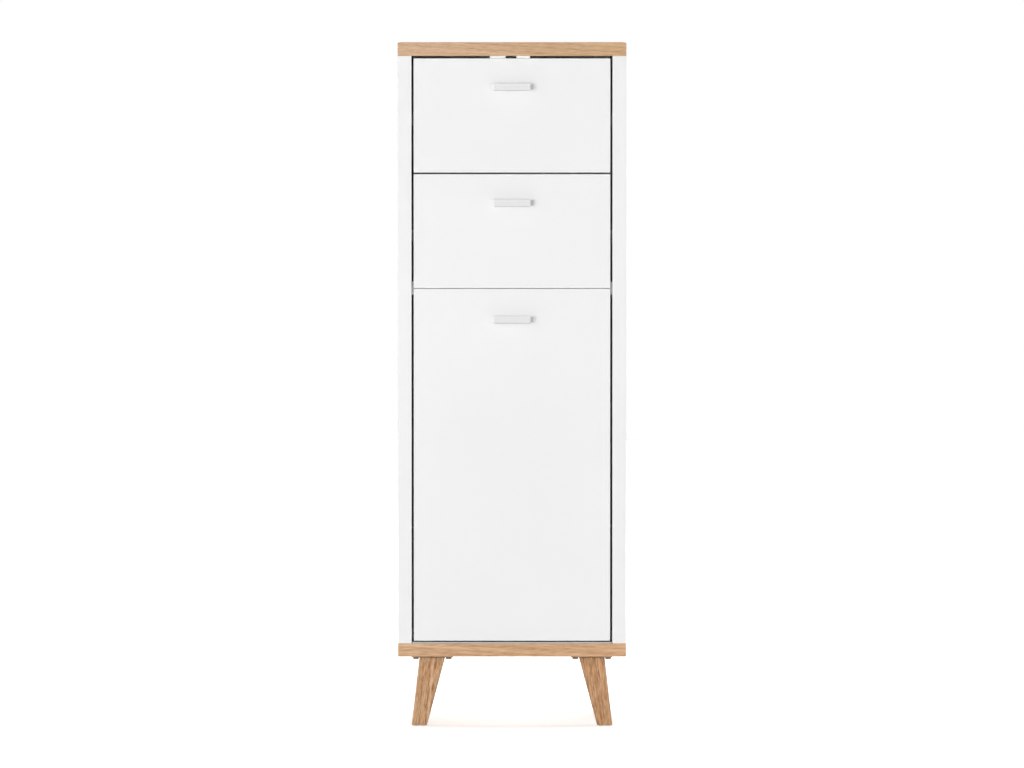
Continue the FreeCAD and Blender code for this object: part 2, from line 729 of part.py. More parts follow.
def laundry_frame():
    """The rod loop that carries the bag, welded to two feet on the flap, with screws and holes."""
    path = rounded_outline(frame_half, frame_front, frame_rear, frame_corner_radius, frame_height)
    start = Vector(frame_half, frame_rear - frame_corner_radius, frame_height)
    ring = Part.Wire(Part.makeCircle(rod_radius, start, TO_BACK))
    loop = path.makePipeShell([ring], True, False)
    feet = []
    points = []
    for side in (1, -1):
        middle = side * frame_foot_offset
        foot_low = frame_height - rod_radius
        feet.append(block((middle - frame_foot_width / 2, front_back, foot_low),
                          (middle + frame_foot_width / 2, front_back + frame_foot_thickness,
                           foot_low + frame_foot_height)))
        points += [Vector(middle, front_back + frame_foot_thickness, foot_low + share * frame_foot_height)
                   for share in frame_foot_screw_shares]
    screws = [pan_screw(point, TO_BACK * -1, fitting_screw) for point in points]
    holes = [shank_hole(point, TO_BACK * -1, fitting_screw) for point in points]
    return drilled(joined([loop] + feet), holes), screws, holes


def laundry_bag():
    """The open bag that hangs under the frame, narrower at its floor."""
    half = frame_half + rod_radius - moving_clearance
    front = front_back + frame_foot_thickness + moving_clearance
    back = frame_rear + rod_radius - moving_clearance
    floor = floor_top + bag_floor_clearance

    def section(height, inset, taper):
        """One level outline, drawn in by an inset, and by a taper on all sides but the front."""
        return rounded_outline(half - inset - taper, front + inset, back - inset - taper,
                               bag_corner_radius - inset, height)

    outside = Part.makeLoft([section(floor, 0, bag_taper), section(bag_rim, 0, 0)], True, True)
    inside = Part.makeLoft([section(floor + bag_wall, bag_wall, bag_taper), section(bag_rim, bag_wall, 0),
                            section(bag_rim + overrun, bag_wall, 0)], True, True)
    return drilled(outside, [inside])


# The whole cabinet
def main():
    os.makedirs("parts", exist_ok=True)

    rail_screws = []
    side_holes = []
    for name, front_bottom in (("top_drawer", top_front_bottom), ("middle_drawer", middle_front_bottom)):
        rail, screws, holes = drawer(name, front_bottom)
        save(f"{name}_cabinet_rails", both_sides([rail]))
        rail_screws += screws
        side_holes += holes
    save("cabinet_rail_screws", both_sides(rail_screws))

    pin, bush, pin_hole, bush_hole = flap_pivot()
    stay, stay_screws, stay_holes = flap_stay()
    halt, halt_hole = stop_pin()
    frame, frame_screws, frame_holes = laundry_frame()
    grip, grip_screws, grip_holes = handle(flap_top - flap_handle_drop)
    flap = board((-front_half, front_plane, flap_bottom), (front_half, front_back, flap_top),
                 front_edge_radius)
    save("laundry_flap", drilled(flap, both_sides([pin_hole] + stay_holes) + frame_holes + grip_holes))
    save("flap_handle", grip)
    save("flap_handle_screws", grip_screws)
    save("flap_pivot_pins", both_sides([pin]))
    save("flap_pivot_bushes", both_sides([bush]))
    save("right_flap_stay", stay)
    save("left_flap_stay", mirrored(stay))
    save("flap_stop_pins", both_sides([halt]))
    save("flap_fitting_screws", both_sides(stay_screws) + frame_screws)
    save("laundry_frame", frame)
    save("laundry_bag", laundry_bag())
    side_holes += [bush_hole, halt_hole]

    bumper_height = (shelf_underside + flap_top) / 2
    bumper_point = Vector(inner_half - bumper_inset, shelf_front - bumper_thickness, bumper_height)
    save("flap_bumpers", both_sides([rod(bumper_point, TO_BACK, bumper_thickness, bumper_diameter)]))

    blocks = [stop_block(size) for size in (left_stop, right_stop)]
    save("front_stop_blocks", [shape for shape, hole in blocks])
    save("flap_seal_strip", flap_seal_strip())

    board_holes = [hole for shape, hole in blocks]
    legs = {}
    for side, side_name in ((-1, "left"), (1, "right")):
        for end, end_name in ((-1, "front"), (1, "rear")):
            legs[f"{side_name}_{end_name}_leg"] = leg_set(side, end)
    for name, one in legs.items():
        save(name, one.leg)
        board_holes += one.board_holes
    save("leg_plates", [one.plate for one in legs.values()])
    save("leg_bolts", [one.bolt for one in legs.values()])
    save("leg_plate_screws", [screw for one in legs.values() for screw in one.screws])
    save("leg_glides", [one.glide for one in legs.values()])

    cams, dowel_places = carcass_joints()
    dowels = [dowel(point, into, 0) for point, into in dowel_places]
    joint_holes = [hole for cam in cams for hole in cam.holes]
    joint_holes += [dowel(point, into, fit_play) for point, into in dowel_places]
    save("cam_bolts", both_sides([cam.bolt for cam in cams]))
    save("cam_locks", both_sides([cam.lock for cam in cams]))
    save("wooden_dowels", both_sides(dowels))

    groove = back_panel(fit_play)
    side = right_side_panel(joint_holes + side_holes + [groove])
    save("right_side_panel", side)
    save("left_side_panel", mirrored(side))
    save("top_board", top_board(both_sides(joint_holes) + board_holes + [groove]))
    save("bottom_board", bottom_board(both_sides(joint_holes) + board_holes + [groove]))
    save("fixed_shelf", fixed_shelf(both_sides(joint_holes)))
    save("back_panel", back_panel(0))


main()
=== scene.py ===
"""Looks of the bathroom side cabinet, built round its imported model.

Metres. X runs to the right, Y to the back and Z up, as in the model. Colours are written as they look,
from 0 to 255, and turned to linear ones where they are used.
"""
import json
import math
from collections import namedtuple

import bmesh
import bpy
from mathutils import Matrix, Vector, noise


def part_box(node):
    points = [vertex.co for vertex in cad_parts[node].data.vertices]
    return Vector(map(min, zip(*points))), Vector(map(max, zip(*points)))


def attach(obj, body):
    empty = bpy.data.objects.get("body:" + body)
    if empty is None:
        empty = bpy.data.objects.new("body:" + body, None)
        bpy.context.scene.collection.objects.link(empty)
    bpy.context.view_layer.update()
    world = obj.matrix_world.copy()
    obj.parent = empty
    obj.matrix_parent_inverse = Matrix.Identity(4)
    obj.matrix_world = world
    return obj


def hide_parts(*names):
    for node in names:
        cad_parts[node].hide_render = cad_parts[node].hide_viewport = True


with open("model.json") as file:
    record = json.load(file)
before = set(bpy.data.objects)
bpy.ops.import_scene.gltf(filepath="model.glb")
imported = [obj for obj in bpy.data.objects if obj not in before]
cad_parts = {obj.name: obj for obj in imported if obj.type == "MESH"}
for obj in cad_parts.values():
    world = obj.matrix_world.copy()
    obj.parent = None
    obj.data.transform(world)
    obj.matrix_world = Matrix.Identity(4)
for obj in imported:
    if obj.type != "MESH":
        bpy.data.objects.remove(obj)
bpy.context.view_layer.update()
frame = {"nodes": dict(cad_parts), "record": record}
nodes = frame["nodes"]

# Camera, at the photograph's place: far off, level with the top board and looking slightly down
camera_distance = 13.7
camera_height = 1.192
camera_target_height = 0.5727
camera_lens = 289.8
camera_sensor = 36.0
camera_reach = 200.0

# Stage and light
floor_radius = 9.0
floor_segments = 128
floor_clear_radius = 0.9
floor_fade_radius = 2.6
floor_glow = 0.55
floor_mirror_glow = 0.18
floor_colour = (240, 240, 240)
white_light = (1.0, 1.0, 1.0, 1.0)
no_colour = (0.0, 0.0, 0.0, 1.0)
ambient_strength = 0.22
Lamp = namedtuple("Lamp", "name place width height power")
lamps = (
    Lamp("front_strip", (-0.8, -6.2, 1.0), 4.0, 0.6, 198.0),
    Lamp("left_key", (-4.2, -4.0, 2.4), 2.6, 2.6, 36.0),
    Lamp("right_fill", (4.2, -4.4, 2.2), 2.4, 2.4, 6.0),
    Lamp("left_side", (-5.0, 1.2, 2.0), 2.4, 2.4, 75.0),
    Lamp("right_side", (5.0, 1.2, 2.0), 2.4, 2.4, 100.0),
    Lamp("top", (-0.4, 0.4, 4.6), 3.0, 3.0, 48.0),
    Lamp("rear", (0.6, 5.0, 3.2), 3.0, 3.0, 130.0),
)
lamp_aim = (0.0, 0.0, 0.6)
mirror_rays = ("Is Glossy Ray", "Is Transmission Ray")
standing = (math.pi / 2, 0.0, math.pi / 2)
facing = (math.pi / 2, 0.0, 0.0)
lying = (0.0, 0.0, 0.0)
Card = namedtuple("Card", "name place turn width depth strength")
cards = (
    Card("left_card", (-1.25, -0.25, 0.75), standing, 1.3, 1.6, 0.95),
    Card("right_card", (1.25, -0.25, 0.75), standing, 1.3, 1.6, 0.48),
    Card("front_card", (0.0, -4.0, 1.1), facing, 6.0, 2.4, 0.85),
    Card("upper_card", (0.0, -1.9, 3.0), lying, 3.0, 3.2, 0.53),
    Card("lower_card", (0.0, -2.2, 0.01), lying, 3.0, 3.6, 0.52),
)

# Colours, as seen. The two tints of a board are those of its left and its right end
oak_board_dark = (162, 123, 89)
oak_board_middle = (209, 172, 139)
oak_board_light = (233, 202, 168)
board_end_tints = {
    "top_board": ((250, 251, 254), (241, 239, 226)),
    "bottom_board": ((255, 253, 246), (250, 242, 230)),
}
oak_leg_dark = (146, 102, 66)
oak_leg_middle = (196, 155, 117)
oak_leg_light = (226, 188, 150)
leg_tints = {
    "left_front_leg": (255, 255, 255),
    "right_front_leg": (242, 235, 227),
    "left_rear_leg": (250, 247, 243),
    "right_rear_leg": (253, 251, 248),
}
beech_dark = (196, 152, 108)
beech_light = (222, 186, 142)
white_face = (239, 239, 239)
white_drawer = (232, 232, 230)
white_panel = (228, 228, 226)
raw_fibreboard = (158, 118, 84)
handle_metal = (250, 250, 250)
zinc_dark = (164, 168, 172)
zinc_light = (198, 200, 202)
# Leg plates and their screws: a brown plating, made darker than the metal is, as painted shade under the
# bottom board
brown_plating_with_painted_shade = (172, 152, 126)
# Flap pivot pins: blackened steel, made black so that they read as painted shade in the side gaps
black_plating_with_painted_shade = (48, 48, 48)
cast_dark = (136, 137, 141)
cast_light = (172, 173, 176)
powder_dark = (218, 218, 218)
powder_light = (230, 230, 229)
white_plastic = (246, 246, 246)
seal_plastic = (186, 186, 183)
grey_plastic = (104, 104, 106)
rubber_dark = (222, 222, 216)
rubber_light = (240, 240, 236)
canvas_colour = (222, 216, 203)
thread_colour = (238, 234, 224)

# Steps between a material's own colour and its darker and lighter marks
film_shade = 3
panel_shade = 4
fibre_shade = 26
fibre_tint = 18
plating_shade = 20
plastic_shade = 5
canvas_shade = 26
canvas_tint = 12
thread_shade = 22

# Grain of the oak: how long and how wide each kind of mark is
Grain = namedtuple("Grain", ("drift_length", "drift_width", "drift", "ring", "streak_length", "streak_width",
                             "pore_length", "pore_width", "tilt", "contrast"))
board_grain = Grain(0.60, 0.11, 0.008, 0.0042, 0.019, 0.0015, 0.010, 0.0006, 0.06, 0.22)
leg_grain = Grain(0.20, 0.05, 0.006, 0.0034, 0.016, 0.0017, 0.010, 0.0008, 0.02, 0.12)
pith_depth = 0.05
pith_offset = 0.03
streak_share = 0.58
ring_share = 0.27
cloud_share = 0.15
pore_start = 0.62
pore_full = 0.78
pore_strength = 0.55
pore_dip = 0.8
oak_depth = 0.00012
short_end_lean = 0.7
board_shifts = {"top_board": (0.8, 0.0, 0.0), "bottom_board": (1.3, 0.02, 0.01)}

# Marks of the other materials: sizes, shares, and the depth of the unevenness that they make.
# Most of the noise lies between the low and the high
noise_low = 0.3
noise_high = 0.7
fleck_size = (0.0009, 0.0009, 0.006)
fleck_depth = 0.00005
film_cloud = 0.35
board_film = 0.0007
drawer_film = 0.0011
film_swing = 0.05
film_depth = 0.00003
panel_back_lean = 0.5
fibre_size = (0.004, 0.0015, 0.004)
fibre_share = 0.6
fibre_middle = 0.50
fibre_high = 0.72
speck_size = 0.0007
speck_share = 0.4
speck_depth = 0.00004
polish_size = (0.03, 0.0004, 0.0004)
smear_size = 0.02
smear_share = 0.4
polish_depth = 0.000008
zinc_patch = 0.012
zinc_grit = 0.0009
plating_patch = 0.008
plating_grit = 0.0008
grit_depth = 0.00001
cast_grit = 0.0006
cast_depth = 0.00004
peel_size = 0.0016
peel_depth = 0.00004
skin_size = 0.0005
skin_flow = 0.015
skin_swing = 0.06
skin_depth = 0.00003
haze_size = 0.003
slub_length = 0.03
slub_width = 0.0016
slub_share = 0.5
slub_rise = 0.6
canvas_cloud = 0.12
canvas_cloud_share = 0.28
canvas_middle = 0.52
canvas_high = 0.74
weave_share = 0.22
weave_depth = 0.00018
twist_size = 0.0006

# Laundry bag, and the rod loop of the model that it hangs on
rod_radius = 0.004
rod_corner = 0.026
rod_gap = 0.0022
rod_foot_offset = 0.090
rod_foot_half = 0.016
bag_cloth = 0.0008
bag_sleeve_gap = 0.0005
bag_sleeve_ease = 0.0004
bag_hem_drop = 0.020
bag_hem_end = 0.026
bag_layer_gap = 0.0014
bag_taper = 0.008
bag_floor_clearance = 0.002
bag_floor_sag = 0.012
bag_floor_corner = 0.014
bag_bow = 0.012
bag_step = 0.0045
sleeve_steps = 14
floor_steps = 14
bend_rows = 6
Fold = namedtuple("Fold", "count depth turn drift")
bag_folds = (
    Fold(7, 0.0044, 0.4, 1.1),
    Fold(12, 0.0032, 2.1, -1.6),
    Fold(19, 0.0019, 4.4, 2.3),
)
fold_draw = 0.0065
fold_onset = 3
crease_length = 0.10
crease_width = 0.032
crease_depth = 0.0070
tape_half = 0.0045
tape_rise = 0.0007
tape_flat_share = 0.8
stitch_length = 0.0032
stitch_pitch = 0.0046
stitch_half = 0.0004
stitch_rise = 0.0004
weave_pitch = 0.0012
weave_map = "weave"


# Colours and nodes
def linear(colour):
    """A colour written from 0 to 255 as Blender's linear colour."""
    shares = [level / 255 for level in colour]
    curve = [share / 12.92 if share <= 0.04045 else ((share + 0.055) / 1.055) ** 2.4 for share in shares]
    return (*curve, 1.0)


def shade(colour, step):
    """A colour made lighter by a step in each of its parts, or darker by a step below zero."""
    return tuple(min(max(level + step, 0), 255) for level in colour)


class Look:
    """One material, with short calls that add and join its nodes."""

    def __init__(self, name):
        self.material = bpy.data.materials.new(name)
        self.material.use_nodes = True
        tree = self.material.node_tree
        tree.nodes.clear()
        self.nodes = tree.nodes
        self.links = tree.links
        self.shader = self.nodes.new("ShaderNodeBsdfPrincipled")
        self.output = self.nodes.new("ShaderNodeOutputMaterial")
        self.links.new(self.shader.outputs["BSDF"], self.output.inputs["Surface"])
        coordinates = self.nodes.new("ShaderNodeTexCoord")
        self.place = coordinates.outputs["Object"]
        self.normal = coordinates.outputs["Normal"]

    def feed(self, socket, value):
        """Join another node's output to a socket, or set the socket's own value."""
        if isinstance(value, bpy.types.NodeSocket):
            self.links.new(value, socket)
        else:
            socket.default_value = value

    def surface(self, **values):
        """Set the shader's sockets, named in small letters with underscores."""
        for name, value in values.items():
            self.feed(self.shader.inputs[name.replace("_", " ").title().replace("Ior", "IOR")], value)

    def cloth_place(self):
        """The place on the flat cloth, in metres along and down it."""
        node = self.nodes.new("ShaderNodeUVMap")
        node.uv_map = weave_map
        return node.outputs["UV"]

    def maths(self, operation, *values):
        """The result of one operation on numbers."""
        node = self.nodes.new("ShaderNodeMath")
        node.operation = operation
        for socket, value in zip(node.inputs, values):
            self.feed(socket, value)
        return node.outputs[0]

    def vector(self, operation, *values):
        """The result of one operation on vectors."""
        node = self.nodes.new("ShaderNodeVectorMath")
        node.operation = operation
        for socket, value in zip(node.inputs, values):
            self.feed(socket, value)
        return node.outputs["Value" if operation in ("DOT_PRODUCT", "LENGTH") else "Vector"]

    def parts(self, vector):
        """The three numbers of a vector."""
        node = self.nodes.new("ShaderNodeSeparateXYZ")
        self.feed(node.inputs[0], vector)
        return node.outputs[0], node.outputs[1], node.outputs[2]

    def whole(self, *values):
        """A vector from its three numbers."""
        node = self.nodes.new("ShaderNodeCombineXYZ")
        for socket, value in zip(node.inputs, values):
            self.feed(socket, value)
        return node.outputs[0]

    def noise(self, place, sizes, detail=2.0, roughness=0.5):
        """Cloudy noise whose marks have the given sizes along the three axes."""
        node = self.nodes.new("ShaderNodeTexNoise")
        self.feed(node.inputs["Vector"], self.vector("DIVIDE", place, sizes))
        return self.noise_value(node, detail, roughness)

    def bands(self, value, detail=2.0, roughness=0.6):
        """Uneven bands along one number, about one to each unit."""
        node = self.nodes.new("ShaderNodeTexNoise")
        node.noise_dimensions = "1D"
        self.feed(node.inputs["W"], value)
        return self.noise_value(node, detail, roughness)

    def noise_value(self, node, detail, roughness):
        """The value of a noise node, with its detail and roughness set."""
        node.inputs["Scale"].default_value = 1.0
        node.inputs["Detail"].default_value = detail
        node.inputs["Roughness"].default_value = roughness
        return node.outputs["Fac"]

    def span(self, value, low, high, new_low=0.0, new_high=1.0):
        """A number moved from one range to another, and kept inside it."""
        node = self.nodes.new("ShaderNodeMapRange")
        for socket, item in zip(node.inputs, (value, low, high, new_low, new_high)):
            self.feed(socket, item)
        return node.outputs[0]

    def ramp(self, value, *stops):
        """A colour for each number, from stops of a place and a colour."""
        node = self.nodes.new("ShaderNodeValToRGB")
        elements = node.color_ramp.elements
        while len(elements) < len(stops):
            elements.new(0.5)
        for element, (place, colour) in zip(elements, stops):
            element.position = place
            element.color = linear(colour)
        self.feed(node.inputs[0], value)
        return node.outputs[0]

    def mix(self, share, first, second, blend="MIX"):
        """Two colours blended by a share of the second."""
        node = self.nodes.new("ShaderNodeMix")
        node.data_type = "RGBA"
        node.blend_type = blend
        self.feed(node.inputs["Factor"], share)
        self.feed(node.inputs["A"], first)
        self.feed(node.inputs["B"], second)
        return node.outputs["Result"]

    def bump(self, height, depth):
        """Unevenness of a given depth, from a height between 0 and 1."""
        node = self.nodes.new("ShaderNodeBump")
        node.inputs["Distance"].default_value = depth
        self.feed(node.inputs["Height"], height)
        self.links.new(node.outputs["Normal"], self.shader.inputs["Normal"])


def even(size):
    """The same size along all three axes."""
    return (size, size, size)


def stretched(length, width):
    """One size along the first axis and another along the other two."""
    return (length, width, width)


# Wood
def oak(look, place, grain, colours, tint):
    """Oak with its grain along the first axis of the place, under a tint."""
    along, across, up = look.parts(place)
    drift = look.noise(place, stretched(grain.drift_length, grain.drift_width), roughness=0.45)
    drift = look.maths("MULTIPLY_ADD", drift, grain.drift, -grain.drift / 2)
    pith = look.maths("MULTIPLY_ADD", along, grain.tilt, up)
    pith = look.maths("ADD", pith, pith_depth)
    beside = look.maths("ADD", look.maths("ADD", across, drift), pith_offset)
    radius = look.vector("LENGTH", look.whole(0.0, beside, pith))
    rings = look.bands(look.maths("DIVIDE", look.maths("ADD", radius, drift), grain.ring))
    streaks = look.noise(place, stretched(grain.streak_length, grain.streak_width), detail=3.0, roughness=0.6)
    clouds = look.noise(place, stretched(grain.drift_length / 2, grain.drift_width / 2), detail=1.0)
    pores = look.noise(place, stretched(grain.pore_length, grain.pore_width), detail=1.0)
    tone = look.maths("MULTIPLY_ADD", streaks, streak_share, look.maths("MULTIPLY", rings, ring_share))
    tone = look.maths("MULTIPLY_ADD", clouds, cloud_share, tone)
    dark, middle, light = colours
    colour = look.ramp(tone, (0.5 - grain.contrast, dark), (0.5, middle), (0.5 + grain.contrast, light))
    pore = look.span(pores, pore_start, pore_full, 0.0, pore_strength)
    colour = look.mix(1.0, look.mix(pore, colour, linear(dark)), tint, "MULTIPLY")
    height = look.maths("SUBTRACT", tone, look.maths("MULTIPLY", pore, pore_dip))
    look.surface(base_color=colour, roughness=look.span(tone, noise_low, noise_high, 0.58, 0.44),
                 specular_ior_level=0.35)
    look.bump(height, oak_depth)
    return look.material


def oak_board(name):
    """One board's oak finish. The grain runs along X, and along the edge band on the two short ends."""
    look = Look(f"oak_{name}")
    low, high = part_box(name)
    x, y, z = look.parts(look.vector("SUBTRACT", look.place, tuple((low + high) / 2)))
    side = look.maths("ABSOLUTE", look.parts(look.normal)[0])
    pick = look.nodes.new("ShaderNodeMix")
    pick.data_type = "VECTOR"
    look.feed(pick.inputs["Factor"], look.maths("GREATER_THAN", side, short_end_lean))
    look.feed(pick.inputs[4], look.whole(x, y, z))
    look.feed(pick.inputs[5], look.whole(y, x, z))
    place = look.vector("ADD", pick.outputs[1], board_shifts[name])
    left, right = board_end_tints[name]
    tint = look.mix(look.span(x, low.x, high.x), linear(left), linear(right))
    return oak(look, place, board_grain, (oak_board_dark, oak_board_middle, oak_board_light), tint)


def oak_leg(name):
    """One leg's solid oak. Its grain leans half as much as the leg's middle line."""
    look = Look(f"oak_{name}")
    low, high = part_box(name)
    ends = [Vector((0.0, 0.0, 0.0)), Vector((0.0, 0.0, 0.0))]
    counts = [0, 0]
    for vertex in nodes[name].data.vertices:
        end = 0 if vertex.co.z < (low.z + high.z) / 2 else 1
        ends[end] += vertex.co
        counts[end] += 1
    axis = (ends[1] / counts[1] - ends[0] / counts[0]).normalized() + Vector((0.0, 0.0, 1.0))
    axis.normalize()
    first = axis.cross(Vector((0.0, 1.0, 0.0))).normalized()
    second = axis.cross(first)
    place = look.whole(*(look.vector("DOT_PRODUCT", look.place, tuple(way)) for way in (axis, first, second)))
    return oak(look, place, leg_grain, (oak_leg_dark, oak_leg_middle, oak_leg_light), linear(leg_tints[name]))


def beech():
    """Raw beech with short flecks."""
    look = Look("beech")
    flecks = look.noise(look.place, fleck_size)
    look.surface(base_color=look.ramp(flecks, (noise_low, beech_dark), (noise_high, beech_light)),
                 roughness=0.6)
    look.bump(flecks, fleck_depth)
    return look.material


# Faced boards
def faced_board(name, colour, roughness, pearl):
    """White faced board with the fine pearl of its film."""
    look = Look(name)
    cloud = look.noise(look.place, even(film_cloud), detail=1.0)
    fine = look.noise(look.place, even(pearl), roughness=0.65)
    look.surface(base_color=look.ramp(cloud, (noise_low, shade(colour, -film_shade)), (noise_high, colour)),
                 roughness=look.span(fine, noise_low, noise_high,
                                     roughness - film_swing, roughness + film_swing),
                 specular_ior_level=0.4)
    look.bump(fine, film_depth)
    return look.material


def thin_panel():
    """Thin fibreboard: white on the side that faces the inside, raw and brown on the other."""
    look = Look("thin_panel")
    _, back, up = look.parts(look.normal)
    outside = look.maths("MAXIMUM", look.maths("GREATER_THAN", back, panel_back_lean),
                         look.maths("LESS_THAN", up, -panel_back_lean))
    fibres = look.noise(look.place, fibre_size, detail=4.0, roughness=0.7)
    specks = look.noise(look.place, even(speck_size))
    tone = look.maths("MULTIPLY_ADD", specks, speck_share, look.maths("MULTIPLY", fibres, fibre_share))
    brown = look.ramp(tone, (noise_low, shade(raw_fibreboard, -fibre_shade)), (fibre_middle, raw_fibreboard),
                      (fibre_high, shade(raw_fibreboard, fibre_tint)))
    white = look.ramp(fibres, (noise_low, shade(white_panel, -panel_shade)), (noise_high, white_panel))
    look.surface(base_color=look.mix(outside, white, brown), roughness=look.span(outside, 0.0, 1.0, 0.5, 0.8))
    look.bump(specks, speck_depth)
    return look.material


# Metals
def bright_metal():
    """Bright handle metal, with the faint lines of its polish along the handle."""
    look = Look("polished_metal")
    lines = look.noise(look.place, polish_size, roughness=0.6)
    smear = look.noise(look.place, even(smear_size))
    uneven = look.maths("MULTIPLY_ADD", smear, smear_share, lines)
    look.surface(base_color=linear(handle_metal), metallic=1.0,
                 roughness=look.span(uneven, 0.4, 1.0, 0.13, 0.24))
    look.bump(lines, polish_depth)
    return look.material


def zinc_steel():
    """Zinc plated steel: a cool grey with soft patches."""
    look = Look("zinc_steel")
    patches = look.noise(look.place, even(zinc_patch), detail=3.0, roughness=0.6)
    grit = look.noise(look.place, even(zinc_grit))
    look.surface(base_color=look.ramp(patches, (noise_low, zinc_dark), (noise_high, zinc_light)),
                 metallic=1.0, roughness=look.span(grit, noise_low, noise_high, 0.28, 0.44))
    look.bump(grit, grit_depth)
    return look.material


def plated_steel(name, colour):
    """Steel under a dark plating, with soft patches; the darkness of the colours given to it is partly
    painted shade.
    """
    look = Look(name)
    patches = look.noise(look.place, even(plating_patch), detail=3.0, roughness=0.6)
    grit = look.noise(look.place, even(plating_grit))
    deep = shade(colour, -plating_shade)
    look.surface(base_color=look.ramp(patches, (noise_low, deep), (noise_high, colour)), metallic=1.0,
                 roughness=look.span(grit, noise_low, noise_high, 0.32, 0.48))
    look.bump(grit, grit_depth)
    return look.material


def cast_zinc():
    """Cam locks, as cast."""
    look = Look("cast_zinc")
    grit = look.noise(look.place, even(cast_grit), detail=3.0, roughness=0.7)
    look.surface(base_color=look.ramp(grit, (noise_low, cast_dark), (noise_high, cast_light)), metallic=1.0,
                 roughness=0.5)
    look.bump(grit, cast_depth)
    return look.material


def powder_coat():
    """White powder coat with its fine orange peel."""
    look = Look("frame_steel")
    peel = look.noise(look.place, even(peel_size))
    look.surface(base_color=look.ramp(peel, (noise_low, powder_dark), (noise_high, powder_light)),
                 roughness=0.38)
    look.bump(peel, peel_depth)
    return look.material


# Plastics
def moulded(name, colour, roughness):
    """Moulded plastic with a fine eroded skin."""
    look = Look(name)
    skin = look.noise(look.place, even(skin_size))
    flow = look.noise(look.place, even(skin_flow), detail=1.0)
    look.surface(base_color=look.ramp(flow, (noise_low, shade(colour, -plastic_shade)), (noise_high, colour)),
                 roughness=look.span(skin, noise_low, noise_high,
                                     roughness - skin_swing, roughness + skin_swing))
    look.bump(skin, skin_depth)
    return look.material


def clear_rubber():
    """Soft bumper rubber that lets some light through."""
    look = Look("clear_rubber")
    haze = look.noise(look.place, even(haze_size))
    look.surface(base_color=look.ramp(haze, (noise_low, rubber_dark), (noise_high, rubber_light)),
                 roughness=0.32, transmission_weight=0.55, ior=1.45)
    return look.material


# Cloth
def canvas(name, colour):
    """Plain woven cotton. The weave follows the cloth, in metres along and down it."""
    look = Look(name)
    flat = look.cloth_place()
    along, down, _ = look.parts(flat)
    turn = 2 * math.pi / weave_pitch
    warp = look.maths("SINE", look.maths("MULTIPLY", along, turn))
    weft = look.maths("SINE", look.maths("MULTIPLY", down, turn))
    weave = look.maths("MULTIPLY_ADD", look.maths("MULTIPLY", warp, weft), 0.5, 0.5)
    slubs_along = look.noise(flat, (slub_length, slub_width, 1.0))
    slubs_down = look.noise(flat, (slub_width, slub_length, 1.0))
    slubs = look.maths("MULTIPLY", look.maths("ADD", slubs_along, slubs_down), 0.5)
    cloud = look.noise(look.place, even(canvas_cloud))
    tone = look.maths("MULTIPLY_ADD", weave, weave_share, look.maths("MULTIPLY", slubs, slub_share))
    tone = look.maths("MULTIPLY_ADD", cloud, canvas_cloud_share, tone)
    base = look.ramp(tone, (noise_low, shade(colour, -canvas_shade)), (canvas_middle, colour),
                     (canvas_high, shade(colour, canvas_tint)))
    look.surface(base_color=base, roughness=0.9, specular_ior_level=0.15, sheen_weight=0.25,
                 sheen_roughness=0.5)
    look.bump(look.maths("MULTIPLY_ADD", slubs, slub_rise, weave), weave_depth)
    return look.material


def sewing_thread():
    """Twisted sewing thread."""
    look = Look("sewing_thread")
    twist = look.noise(look.place, even(twist_size))
    deep = shade(thread_colour, -thread_shade)
    look.surface(base_color=look.ramp(twist, (noise_low, deep), (noise_high, thread_colour)), roughness=0.75,
                 sheen_weight=0.2)
    return look.material


# Paint on the model's own pieces
def paint(piece, material):
    """Give a piece one material all over."""
    piece.data.materials.clear()
    piece.data.materials.append(material)


def paint_model():
    """Give every piece of the model the look of its slot, and each oak piece a look of its own."""
    looks = {
        "white_board": faced_board("white_board", white_face, 0.42, board_film),
        "drawer_board": faced_board("drawer_board", white_drawer, 0.52, drawer_film),
        "thin_panel": thin_panel(),
        "beech": beech(),
        "polished_metal": bright_metal(),
        "zinc_steel": zinc_steel(),
        # The leg plates' colour is partly painted shade from under the bottom board
        "dark_steel": plated_steel("dark_steel", brown_plating_with_painted_shade),
        # The pivot pins' black is partly painted shade in the side gaps
        "black_steel": plated_steel("black_steel", black_plating_with_painted_shade),
        "cast_zinc": cast_zinc(),
        "frame_steel": powder_coat(),
        "white_plastic": moulded("white_plastic", white_plastic, 0.4),
        "seal_plastic": moulded("seal_plastic", seal_plastic, 0.5),
        "grey_plastic": moulded("grey_plastic", grey_plastic, 0.5),
        "clear_rubber": clear_rubber(),
        "bag_fabric": canvas("bag_fabric", canvas_colour),
    }
    own_looks = {"oak_board": oak_board, "oak_leg": oak_leg}
    for part in frame["record"]["subparts"]:
        name = part["node"]
        slot = part["material_slot"]
        paint(nodes[name], own_looks[slot](name) if slot in own_looks else looks[slot])
    return looks


# Laundry bag
frame_low, frame_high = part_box("laundry_frame")
bag_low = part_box("laundry_bag")[0]
rod_level = frame_low.z + rod_radius
loop_half = frame_high.x - rod_radius
loop_back = frame_high.y - rod_radius
loop_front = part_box("laundry_flap")[1].y + rod_gap + rod_radius
loop_middle = Vector((0.0, (loop_front + loop_back) / 2, 0.0))
run_halves = (loop_half - rod_corner, (loop_back - loop_front) / 2 - rod_corner)
bend_length = rod_corner * math.pi / 2
loop_length = 4 * (run_halves[0] + run_halves[1] + bend_length)
hem_level = rod_level - bag_hem_drop
wall_end = bag_low.z + bag_floor_clearance + bag_floor_sag + bag_floor_corner
wall_height = hem_level - wall_end


